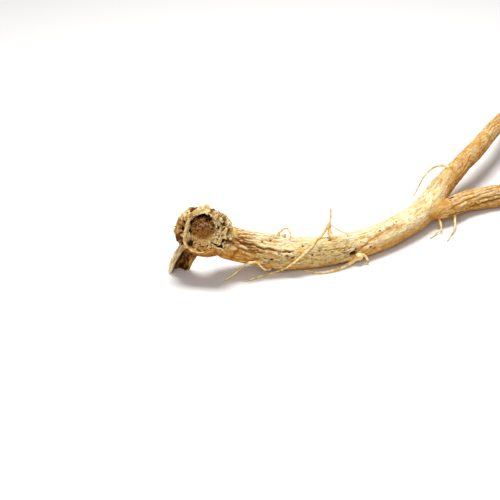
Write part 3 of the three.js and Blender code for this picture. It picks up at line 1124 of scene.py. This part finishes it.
class Nodes:
    """Short calls for building a material's nodes."""

    def __init__(self, name):
        self.material = bpy.data.materials.new(name)
        self.material.use_nodes = True
        self.tree = self.material.node_tree
        self.shader = self.tree.nodes["Principled BSDF"]

    def node(self, kind, **inputs):
        """A new node with its inputs linked or set by name."""
        node = self.tree.nodes.new(kind)
        for name, value in inputs.items():
            self.feed(node.inputs[name], value)
        return node

    def feed(self, socket, value):
        if isinstance(value, bpy.types.NodeSocket):
            self.tree.links.new(value, socket)
        else:
            socket.default_value = value

    def mask(self, name):
        node = self.node("ShaderNodeAttribute")
        node.attribute_name = name
        return node.outputs["Fac"]

    def grain(self, scale):
        node = self.node("ShaderNodeAttribute")
        node.attribute_name = "grain"
        return self.stretch(node.outputs["Vector"], scale)

    def local(self):
        return self.stretch(self.node("ShaderNodeTexCoord").outputs["Object"], (1, 1, 1))

    def stretch(self, vector, scale):
        return self.node("ShaderNodeMapping", Vector=vector, Scale=scale).outputs["Vector"]

    def noise(self, vector, scale, detail=4.0, roughness=0.6):
        inputs = {"Vector": vector, "Scale": scale, "Detail": detail, "Roughness": roughness}
        return self.node("ShaderNodeTexNoise", **inputs).outputs["Fac"]

    def spots(self, vector, scale):
        return self.node("ShaderNodeTexVoronoi", Vector=vector, Scale=scale).outputs["Distance"]

    def remap(self, value, low, high, to_low=0.0, to_high=1.0):
        inputs = {"Value": value, "From Min": low, "From Max": high, "To Min": to_low, "To Max": to_high}
        node = self.node("ShaderNodeMapRange")
        node.interpolation_type = "SMOOTHSTEP"
        for name, each in inputs.items():
            self.feed(node.inputs[name], each)
        return node.outputs["Result"]

    def maths(self, operation, first, second=0.0, clamp=True):
        node = self.node("ShaderNodeMath")
        node.operation = operation
        node.use_clamp = clamp
        self.feed(node.inputs[0], first)
        self.feed(node.inputs[1], second)
        return node.outputs[0]

    def times(self, first, second):
        return self.maths("MULTIPLY", first, second)

    def mix(self, share, first, second, blend="MIX"):
        node = self.node("ShaderNodeMix")
        node.data_type = "RGBA"
        node.blend_type = blend
        self.feed(node.inputs[0], share)
        self.feed(node.inputs[6], first)
        self.feed(node.inputs[7], second)
        return node.outputs[2]

    def bump(self, height, distance, strength=1.0, after=None):
        node = self.node("ShaderNodeBump", Height=height, Distance=distance, Strength=strength)
        if after is not None:
            self.feed(node.inputs["Normal"], after)
        return node.outputs["Normal"]

    def finish(self, base, roughness, normal):
        self.feed(self.shader.inputs["Base Color"], base)
        self.feed(self.shader.inputs["Roughness"], roughness)
        self.feed(self.shader.inputs["Normal"], normal)
        self.shader.inputs["Specular IOR Level"].default_value = DRY_SPECULAR
        return self.material


CREAM = colour(255, 246, 212)
STRAW = colour(247, 218, 140)
TAN = colour(224, 174, 78)
OCHRE = colour(188, 122, 30)
UMBER = colour(98, 52, 10)
BROWN = colour(98, 54, 12)
HEARTWOOD = colour(146, 90, 38)
AMBER = colour(178, 108, 18)
# The colour of painted shade in the deepest grooves, pits and holes.
NEAR_BLACK = colour(30, 12, 4)
GREY_BARK = colour(196, 176, 116)
# A warm tint that darkens some bark: partly its tone, partly painted shade.
TONE_AND_SHADE_TINT = colour(216, 168, 78)
DARK_FLECK = colour(112, 92, 54)


class BarkPatterns:
    """The noises that the bark's colours and its fine relief share."""

    def __init__(self, n):
        self.place = n.local()
        self.along = n.grain((1, 1, 0.4))
        grain = n.grain((1, 1, 0.2))
        self.seam = n.mask("seam")
        self.patches = n.noise(self.place, scale=80, detail=3)
        self.streaks = n.noise(grain, scale=700, detail=5, roughness=0.65)
        self.mottle = n.noise(self.place, scale=480, detail=5, roughness=0.65)
        self.fine = n.noise(self.place, scale=1700, detail=3)
        winding = n.noise(grain, scale=520, detail=3, roughness=0.55)
        middle = n.maths("SUBTRACT", winding, 0.5, clamp=False)
        thread = n.maths("ABSOLUTE", middle, clamp=False)
        self.thread = n.maths("ADD", thread, self.seam, clamp=False)


def plain_bark(n, p):
    """Tan and straw streaks, with patches of cream."""
    pale = n.mix(n.remap(p.mottle, 0.35, 0.62), STRAW, CREAM)
    base = n.mix(n.remap(p.streaks, 0.38, 0.62), TAN, STRAW)
    base = n.mix(n.remap(p.patches, 0.4, 0.62), base, pale)
    share = n.times(n.mask("cream"), n.remap(p.mottle, 0.25, 0.5, 0.45, 1.0))
    share = n.times(share, n.remap(p.patches, 0.36, 0.5, 0.5, 1.0))
    return n.mix(share, base, n.mix(n.remap(p.streaks, 0.34, 0.56), STRAW, CREAM))


def zone_colours(n, p, base):
    """Grey, amber, crown and heart, each where its mask says, a painted highlight on convex edges, and a
    warm darkening that is partly the bark's tone and partly painted shade.
    """
    share = n.times(n.mask("grey"), n.remap(p.mottle, 0.3, 0.62, 0.35, 0.9))
    base = n.mix(share, base, GREY_BARK)
    share = n.times(n.mask("amber"), n.remap(p.streaks, 0.3, 0.7, 1.0, 0.5))
    base = n.mix(share, base, n.mix(n.remap(p.mottle, 0.35, 0.65), OCHRE, TAN))
    share = n.times(n.mask("crown"), n.remap(p.mottle, 0.3, 0.6, 1.0, 0.45))
    base = n.mix(share, base, n.mix(n.remap(p.fine, 0.38, 0.62), BROWN, AMBER))
    share = n.maths("SUBTRACT", 0.95, n.times(n.mask("cream"), 0.7))
    share = n.times(n.mask("heart"), share)
    base = n.mix(share, base, n.mix(n.remap(p.mottle, 0.34, 0.64), BROWN, HEARTWOOD))
    # Painted highlight on convex edges.
    highlight_tone = n.mix(n.mask("heart"), n.mix(n.mask("crown"), CREAM, STRAW), HEARTWOOD)
    base = n.mix(n.times(n.mask("edge"), 0.6), base, highlight_tone)
    # Warm darkening: partly the bark's darker tone, partly painted shade on undersides, the band below the
    # crown and the stub.
    share = n.times(n.mask("tone_and_shade"), n.remap(p.mottle, 0.3, 0.65, 1.0, 0.7))
    return n.mix(share, base, TONE_AND_SHADE_TINT, "MULTIPLY")


def small_marks(n, p, base):
    """Ochre threads along the grain, umber dashes and dark flecks."""
    plain = n.maths("SUBTRACT", 1.0, n.times(n.mask("cream"), 0.6))
    share = n.times(n.remap(p.thread, 0.04, 0.008), n.remap(p.mottle, 0.33, 0.56, 0.0, 0.85))
    base = n.mix(n.times(share, plain), base, OCHRE)
    gate = n.remap(n.noise(p.place, scale=240, detail=2), 0.46, 0.56, 0.0, 0.8)
    dashes = n.maths("ADD", n.spots(p.along, 560), p.seam)
    share = n.times(n.remap(dashes, 0.28, 0.14), gate)
    base = n.mix(n.times(share, plain), base, UMBER)
    patches = n.noise(p.place, scale=330, detail=4, roughness=0.65)
    gate = n.remap(patches, 0.36, 0.58, 0.15, 0.95)
    flecks = n.noise(p.along, scale=1150, detail=5, roughness=0.7)
    flecks = n.maths("SUBTRACT", flecks, p.seam)
    share = n.times(n.remap(flecks, 0.51, 0.6), gate)
    return n.mix(n.times(share, n.mask("fleck")), base, DARK_FLECK)


def dark_places(n, p, base):
    """Grooves, hollows and pits: furrows in the bark's brown with painted shade, near-black in the deepest,
    and painted shade in hollows and pits.
    """
    tone = n.mix(n.remap(p.mottle, 0.4, 0.6), UMBER, OCHRE)
    base = n.mix(n.remap(n.mask("groove"), 0.25, 0.95, 0.0, 0.8), base, tone)
    base = n.mix(n.remap(n.mask("groove"), 0.8, 1.0, 0.0, 0.7), base, NEAR_BLACK)
    # Painted shade in hollows.
    share = n.times(n.mask("hollow"), n.remap(p.mottle, 0.25, 0.6, 0.8, 0.4))
    base = n.mix(share, base, n.mix(n.mask("crown"), OCHRE, UMBER))
    # Painted shade in pits and holes, near-black in the deepest.
    tone = n.mix(n.remap(n.mask("pit"), 0.45, 0.85), UMBER, NEAR_BLACK)
    return n.mix(n.remap(n.mask("pit"), 0.2, 0.7, 0.0, 0.94), base, tone)


def bark_material():
    n = Nodes("root_bark")
    p = BarkPatterns(n)
    base = plain_bark(n, p)
    base = zone_colours(n, p, base)
    base = small_marks(n, p, base)
    base = dark_places(n, p, base)
    normal = n.bump(p.streaks, distance=0.0006)
    normal = n.bump(n.remap(p.thread, 0.0, 0.05), distance=0.00025, strength=0.8, after=normal)
    normal = n.bump(p.mottle, distance=0.0004, strength=0.8, after=normal)
    normal = n.bump(p.fine, distance=0.00015, strength=0.8, after=normal)
    return n.finish(base, n.remap(p.mottle, 0.3, 0.7, 0.7, 0.92), normal)


def skin_material(name, pale, dark, scale):
    """For flaps and rootlets: pale dry skin with small dark marks."""
    n = Nodes(name)
    place = n.local()
    mottle = n.noise(place, scale, detail=5, roughness=0.65)
    fine = n.noise(place, scale * 4, detail=3)
    base = n.mix(n.remap(mottle, 0.36, 0.66), dark, pale)
    base = n.mix(n.remap(fine, 0.6, 0.78, 0.0, 0.5), base, UMBER)
    normal = n.bump(mottle, distance=0.0003, strength=0.6)
    normal = n.bump(fine, distance=0.00015, strength=0.7, after=normal)
    return n.finish(base, n.remap(fine, 0.3, 0.7, 0.7, 0.9), normal)


# Rootlets: thin tapering tubes that grow out of the bark

TUBE_REFERENCE = np.array([0.31, 0.17, 0.93])
TUBE_RING_STEP = 0.6
TUBE_FEWEST_RINGS = 14
TUBE_THINNEST = 0.08
TUBE_FLOOR_GAP = 0.02


def tube(points, seed, wiggle, sides=10, roughness=0.0):
    """A thin closed tube through points of x, y, z and radius."""
    table = np.array([list(map(float, point)) for point in points])
    generator = np.random.default_rng(seed)
    length = np.linalg.norm(np.diff(table[:, :3], axis=0), axis=1).sum()
    rings = max(TUBE_FEWEST_RINGS, int(length / TUBE_RING_STEP))
    share = np.linspace(0, 1, rings)
    phase = generator.uniform(0, FULL_TURN, 4)
    sway = np.stack([
        np.sin(9 * share + phase[0]) + 0.5 * np.sin(23 * share + phase[1]),
        np.sin(11 * share + phase[2]) + 0.5 * np.sin(19 * share + phase[3]),
        0.3 * np.sin(13 * share + phase[1]),
    ], axis=1)
    line = through_points(table[:, :3], share) + wiggle * np.sin(math.pi * share)[:, None] * sway
    radius = np.maximum(through_values(table[:, 3], share), TUBE_THINNEST)
    radius = radius * (1 + 0.1 * np.sin(31 * share + phase[3]) + 0.07 * generator.normal(size=rings))
    radius[0] *= 0.6
    radius[-1] *= 0.4
    tangent = unit(np.gradient(line, axis=0))
    side = unit(np.cross(tangent, TUBE_REFERENCE))
    lift = np.cross(side, tangent)
    turns = (np.arange(sides) * FULL_TURN / sides)[None, :, None]
    out = side[:, None] * np.cos(turns) + lift[:, None] * np.sin(turns)
    places = (line[:, None] + out * radius[:, None, None]).reshape(-1, 3)
    lumps = roughness * fine_noise.layered(places / 1.1 + seed, 2)
    places += out.reshape(-1, 3) * (lumps * np.repeat(radius, sides))[:, None]
    places = np.vstack([places, line[0], line[-1]])
    return above_floor(places, TUBE_FLOOR_GAP), ring_faces(rings, sides)


def add_joined(name, parts, material):
    """One piece from several closed shapes, riding on the root."""
    places = []
    faces = []
    count = 0
    for part_places, part_faces in parts:
        places.append(part_places)
        faces += [tuple(index + count for index in face) for face in part_faces]
        count += len(part_places)
    piece = make_object(name, np.vstack(places), faces)
    piece.data.materials.append(material)
    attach(piece, "root")


# Flaps: thin ragged plates of bark that stand off the crown

def plate_faces(wide, tall):
    """Faces of a plate: its front, its rear and the rim that joins them."""
    count = wide * tall
    faces = []
    for row in range(tall - 1):
        for k in range(wide - 1):
            a = row * wide + k
            faces.append((a, a + 1, a + wide + 1, a + wide))
            faces.append((count + a, count + a + wide, count + a + wide + 1, count + a + 1))
    border = list(range(wide))
    border += [row * wide + wide - 1 for row in range(1, tall)]
    border += [(tall - 1) * wide + k for k in range(wide - 2, -1, -1)]
    border += [row * wide for row in range(tall - 2, 0, -1)]
    for k, a in enumerate(border):
        b = border[(k + 1) % len(border)]
        faces.append((a, count + a, count + b, b))
    return faces


def plate(low_edge, high_edge, thickness, ragged, crumple, seed, wide=44, tall=20):
    """A closed thin plate between two edges, both given in the crown's frame."""
    noise = Noise(seed)
    across = np.linspace(0, 1, wide)
    low = through_points(np.array(low_edge, dtype=float), across)
    high = through_points(np.array(high_edge, dtype=float), across)
    tear = noise.at(np.stack([across * 9, across * 0 + seed, across * 0], axis=1))
    tear += 0.3 * noise.at(np.stack([across * 23, across * 0 + seed, across * 0 + 4], axis=1))
    ends = np.sin(math.pi * np.clip(across, 0.02, 0.98)) ** 0.25
    high = low + (high - low) * ((1 + ragged * tear) * (0.75 + 0.25 * ends))[:, None]
    rows = []
    for share in np.arange(tall) / (tall - 1):
        row = low + (high - low) * share
        fold = noise.layered(row / 2.0 + seed, 3)
        rows.append(row + UP * (crumple * fold * (0.3 + 0.7 * share))[:, None])
    sheet = np.array(rows)
    normal = unit(np.cross(np.gradient(sheet, axis=1), np.gradient(sheet, axis=0)))
    rise = np.linspace(0, 1, tall)[:, None]
    rim = np.minimum(np.minimum(6 * rise + 0.6, 5 * (1 - rise) + 0.25), 1.0)
    rim = np.minimum(rim, 12 * np.minimum(across, 1 - across)[None, :] + 0.25)
    half = 0.5 * thickness * rim[:, :, None]
    front = (sheet + normal * half).reshape(-1, 3)
    rear = (sheet - normal * half).reshape(-1, 3)
    return from_crown(*np.vstack([front, rear]).T), plate_faces(wide, tall)


def rim_flake(generator, seed):
    """One small torn scale of bark that stands up somewhere on the crown's rim."""
    turn = math.radians(generator.uniform(-38, 214))
    edge = float(crown_reach(np.array([turn]))[0])
    far = edge * generator.uniform(0.72, 1.0)
    depth = 6.4 - 7.0 * max(0.0, far / edge - 0.78) / 0.22 * generator.uniform(0.4, 1.0)
    base = np.array([far * math.cos(turn), far * math.sin(turn), depth])
    out = unit(np.array([math.cos(turn), math.sin(turn), generator.uniform(0.1, 1.1)]))
    side = unit(np.array([-math.sin(turn), math.cos(turn), generator.uniform(-0.9, 0.9)]))
    width = generator.uniform(0.9, 2.4)
    tall = generator.uniform(0.8, 1.9)
    curl = generator.uniform(-0.6, 0.8) * side
    low = [base - side * width / 2 - out * 0.5, base - out * 0.3, base + side * width / 2 - out * 0.5]
    high = [point + out * tall * share + curl for point, share in zip(low, (0.8, 1.3, 0.7))]
    return plate(low, high, thickness=0.34, ragged=0.3, crumple=0.3, seed=seed, wide=9, tall=6)


def stem_strand(generator):
    """A short torn fibre over the upper half of the stem scar, as points with a radius."""
    turn = generator.uniform(0, FULL_TURN)
    far = math.sqrt(generator.uniform(0, 1))
    across = HEART_CENTRE[0] + 4.6 * far * math.cos(turn)
    along = HEART_CENTRE[1] + 2.2 + 3.0 * far * math.sin(turn)
    lean = generator.uniform(-1.1, 1.1)
    ahead = np.array([math.sin(lean), math.cos(lean)])
    aside = np.array([ahead[1], -ahead[0]])
    long = generator.uniform(1.4, 3.4)
    bow = generator.uniform(-0.7, 0.7)
    girth = generator.uniform(0.18, 0.34)
    strand = []
    for share in (-0.5, -0.17, 0.17, 0.5):
        arch = 1 - 4 * share * share
        spot = np.array([across, along]) + ahead * long * share + aside * bow * arch
        strand.append((*spot, 5.4 + 1.0 * arch, girth * (0.6 + 0.4 * arch)))
    return strand


def add_crown_threads(name, lines, material, seed):
    """Rough little tubes from lines of points in the crown's frame."""
    parts = []
    for number, line in enumerate(lines):
        table = np.array(line)
        spots = from_crown(*table[:, :3].T)
        points = np.hstack([spots, table[:, 3:]])
        parts.append(tube(points, seed + number, wiggle=0.14, sides=14, roughness=0.55))
    add_joined(name, parts, material)


# The places of the small pieces

# Each flap's low edge and high edge in the crown's frame, thickness, raggedness and seed.
FLAPS = {
    "top_flap": (
        [(-7.0, 9.0, 5.8), (-4.4, 10.0, 6.4), (-1.4, 10.9, 6.4), (2.6, 11.9, 5.4)],
        [(-7.4, 11.2, 6.2), (-5.0, 13.0, 7.0), (-1.8, 15.2, 6.6), (1.4, 17.0, 5.0)],
        1.2, 0.1, 3,
    ),
    "left_strip": (
        [(-8.0, -7.6, 5.4), (-9.6, -5.0, 5.6), (-9.7, -2.0, 6.0),
         (-9.0, 2.0, 6.6), (-8.4, 5.5, 6.8), (-7.2, 8.4, 6.2)],
        [(-8.5, -8.4, 6.6), (-10.5, -5.4, 7.0), (-10.7, -2.0, 7.6),
         (-10.0, 2.2, 8.2), (-9.4, 6.0, 8.4), (-8.2, 9.2, 7.4)],
        0.7, 0.2, 8,
    ),
    "left_flap": (
        [(-13.6, 3.2, 4.6), (-12.2, 6.4, 6.0), (-10.2, 8.8, 6.6), (-7.8, 10.4, 6.0)],
        [(-15.4, 5.0, 3.8), (-14.0, 8.4, 4.8), (-11.8, 10.9, 5.4), (-9.0, 12.6, 5.0)],
        0.9, 0.2, 14,
    ),
}
FLAP_CRUMPLE = 0.75
FLAKE_COUNT = 30
FLAKE_SEED = 61
FLAKE_SHAPE_SEED = 100
STRAND_COUNT = 16
STRAND_SEED = 71


def on_main(arc, degrees, lift, radius):
    return (*main_limb.spot(arc, degrees, lift), radius)


def on_side(arc, degrees, lift, radius):
    return (*side_limb.spot(arc, degrees, lift), radius)


# Points with a radius: some lie on a limb, the others are places of the root.
ROOTLETS = {
    "knob_rootlet": [
        (34.2, -25.0, 5.4, 0.9), (33.0, -25.8, 5.2, 2.2), (31.5, -26.6, 4.8, 2.4),
        (29.6, -25.9, 3.5, 1.5), (26.8, -25.0, 1.9, 1.1), (21.5, -24.0, 1.1, 0.95),
        (16, -22.6, 0.9, 0.85), (9.6, -20.0, 0.8, 0.7), (6.0, -15.5, 0.7, 0.55), (4.2, -10.6, 0.7, 0.4),
    ],
    "knob_strip": [
        (32.4, -26.6, 5.2, 0.5), (33.6, -27.8, 5.4, 0.8), (34.8, -29.4, 4.2, 0.75),
        (35.0, -30.6, 2.4, 0.6), (34.2, -30.9, 0.7, 0.4),
    ],
    "nub": [
        on_main(75.5, 90, -0.8, 2.0), on_main(74.8, 89, 0.8, 1.6), (21.0, -13.9, 18.6, 1.3),
        (21.6, -13.2, 20.6, 1.0), (22.0, -12.6, 22.4, 0.8), (22.6, -12.1, 24.0, 0.6),
        (24.0, -11.6, 26.5, 0.55), (25.0, -10.7, 29.0, 0.45), (25.8, -9.5, 31.6, 0.3),
    ],
    "front_rootlet": [
        (22.8, -12.0, 24.6, 0.5), (21.4, -12.0, 22.6, 0.85), (18.9, -11.8, 19.6, 0.85),
        on_main(68.5, 100, 0.9, 0.75), on_main(65, 80, 0.5, 0.72), on_main(63, 56, 0.45, 0.7),
        on_main(59.5, 36, 0.45, 0.68), on_main(55.5, 16, 0.45, 0.66), on_main(51.5, -4, 0.5, 0.62),
        on_main(47.5, -26, 0.6, 0.56), (-7.9, -1.9, 1.0, 0.55), (-16.3, 1.0, 0.8, 0.5),
        (-24.1, 2.6, 0.7, 0.4), (-28, 4.4, 0.6, 0.3),
    ],
    "nub_rootlet": [
        (22.6, -12.9, 22.6, 0.35), (23.8, -15.1, 21.3, 0.4), (25.2, -17.6, 19.8, 0.38),
        (26.8, -20.0, 18.6, 0.35), (28.4, -21.4, 16.6, 0.3),
    ],
    "neck_rootlet": [
        on_main(41, -52, -0.5, 0.8), on_main(38.5, -42, 0.9, 0.65), on_main(35, -26, 1.2, 0.6),
        on_main(31, -12, 1.2, 0.6), on_main(27, -18, 1.4, 0.58), (-24.6, 9.6, 5.0, 0.5),
        (-30.2, 10.6, 2.6, 0.45), (-35, 12, 0.8, 0.35),
    ],
    "curled_rootlet": [
        on_main(43, 100, -0.5, 0.9), on_main(43.5, 104, 1.6, 0.7), (5.6, 5.2, 20.4, 0.6),
        (7.6, 4.8, 19.2, 0.55), on_main(51, 98, 0.3, 0.45),
    ],
    "curl_nub": [
        on_main(46, 98, -0.6, 1.2), on_main(46.6, 99, 0.6, 1.1), on_main(47.4, 98, 1.4, 0.6),
    ],
    "branch_rootlet": [
        on_main(192, 96, -0.8, 1.1), (130.2, -7.9, 23.4, 0.8), (124.5, -5.4, 22.4, 0.65),
        (118.9, -4.0, 18, 0.55), (115.4, -2.7, 12, 0.42), (113, -1.6, 6, 0.3),
    ],
    "fork_rootlet_near": [
        on_side(10, -46, -0.8, 0.9), (95.2, -35.9, 3, 0.55), (91.2, -35.9, 1, 0.45), (83.5, -36.6, 0.7, 0.3),
    ],
    "fork_rootlet_far": [
        on_side(21, -34, -0.8, 0.8), (103.1, -40, 3, 0.5), (97.1, -42.5, 0.9, 0.42), (87.8, -45.7, 0.6, 0.3),
    ],
}
ROOTLET_WIGGLE = 0.22
ROOTLET_SEED = 50

# Points of the crown's frame with a radius: a rim lump, a splinter, a rim lump and the lower lip.
CREAM_LUMPS = [
    [(9.4, 8.6, 4.6, 0.7), (10.1, 9.5, 5.6, 1.0), (10.6, 10.3, 5.4, 0.8), (10.8, 10.8, 4.6, 0.4)],
    [(7.1, 7.8, 6.4, 0.6), (7.5, 9.4, 7.4, 0.55), (7.6, 11.2, 7.6, 0.4), (7.3, 13.8, 7.2, 0.14)],
    [(11.6, 0.6, 3.6, 0.8), (12.8, 0.2, 4.4, 1.0), (13.6, -0.4, 3.6, 0.8), (13.8, -1.2, 2.4, 0.5)],
    [(-9.2, -6.6, 6.0, 0.4), (-7.0, -8.7, 6.5, 0.42), (-3.6, -9.7, 6.6, 0.36),
     (0.0, -9.6, 6.4, 0.3), (2.8, -8.7, 5.8, 0.2)],
]


# Build the pieces

bark = bark_material()
paper = skin_material("flap_bark", colour(250, 232, 182), colour(206, 168, 96), 520)
scales = skin_material("scale_bark", colour(246, 216, 144), colour(146, 92, 38), 260)
threads = skin_material("stem_threads", colour(206, 156, 104), colour(120, 70, 34), 420)
rootlet_skin = skin_material("rootlet_skin", colour(254, 236, 180), colour(214, 168, 92), 420)

root = root_piece()
root.data.materials.clear()
root.data.materials.append(bark)
root.data.polygons.foreach_set("material_index", [0] * len(root.data.polygons))
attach(root, "root")
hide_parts("astragalus_root")

for name, (low_edge, high_edge, thickness, ragged, seed) in FLAPS.items():
    add_joined(name, [plate(low_edge, high_edge, thickness, ragged, FLAP_CRUMPLE, seed)], paper)
flake_generator = np.random.default_rng(FLAKE_SEED)
flakes = [rim_flake(flake_generator, FLAKE_SHAPE_SEED + k) for k in range(FLAKE_COUNT)]
add_joined("rim_flakes", flakes, scales)
for number, (name, points) in enumerate(ROOTLETS.items()):
    add_joined(name, [tube(points, ROOTLET_SEED + number, ROOTLET_WIGGLE)], rootlet_skin)
strand_generator = np.random.default_rng(STRAND_SEED)
strands = [stem_strand(strand_generator) for _ in range(STRAND_COUNT)]
add_crown_threads("stem_threads", strands, threads, seed=80)
add_crown_threads("crown_lumps", CREAM_LUMPS, scales, seed=90)


# Floor, lights and camera

FLOOR_SIZE = 6.0
FLOOR_TONE = (0.8, 0.8, 0.8, 1)
FLOOR_ROUGHNESS = 0.85
ROOM_TONE = (1.0, 0.995, 0.985, 1)
ROOM_STRENGTH = 0.27
LENS_LENGTH = 81.16
SENSOR_WIDTH = 36
CAMERA_PLACE = np.array([-400.34, -373.11, 301.54])
CAMERA_LOOK = (0.6243, 0.6243, -0.4695)


def add_floor():
    bpy.ops.mesh.primitive_plane_add(size=FLOOR_SIZE, location=(0, 0, 0))
    floor = bpy.context.object
    floor.name = "floor"
    n = Nodes("floor_paint")
    n.shader.inputs["Base Color"].default_value = FLOOR_TONE
    n.shader.inputs["Roughness"].default_value = FLOOR_ROUGHNESS
    floor.data.materials.append(n.material)


def add_light(name, place, target, size, power, tint):
    light = bpy.data.lights.new(name, "AREA")
    light.shape = "DISK"
    light.size = size
    light.energy = power
    light.color = tint
    lamp = bpy.data.objects.new(name, light)
    lamp.location = place
    lamp.rotation_euler = (Vector(target) - Vector(place)).to_track_quat("-Z", "Y").to_euler()
    bpy.context.scene.collection.objects.link(lamp)


def add_world():
    world = bpy.data.worlds.new("soft_room")
    world.use_nodes = True
    background = world.node_tree.nodes["Background"]
    background.inputs["Color"].default_value = ROOM_TONE
    background.inputs["Strength"].default_value = ROOM_STRENGTH
    bpy.context.scene.world = world


def add_camera():
    lens = bpy.data.cameras.new("camera")
    lens.lens = LENS_LENGTH
    lens.sensor_width = SENSOR_WIDTH
    lens.sensor_fit = "HORIZONTAL"
    camera = bpy.data.objects.new("camera", lens)
    camera.location = Vector(((CAMERA_PLACE + ORIGIN_SHIFT) * METRES).tolist())
    camera.rotation_euler = Vector(CAMERA_LOOK).to_track_quat("-Z", "Y").to_euler()
    bpy.context.scene.collection.objects.link(camera)
    bpy.context.scene.camera = camera


add_floor()
add_world()
add_light("key", (0.02, 0.14, 0.93), (0, 0, 0), size=0.45, power=10.8, tint=(1.0, 0.985, 0.965))
add_light("fill", (-0.9, -0.5, 0.6), (-0.1, 0, 0), size=0.7, power=4.6, tint=(1.0, 0.975, 0.93))
add_camera()
bpy.context.scene.view_settings.view_transform = "Standard"
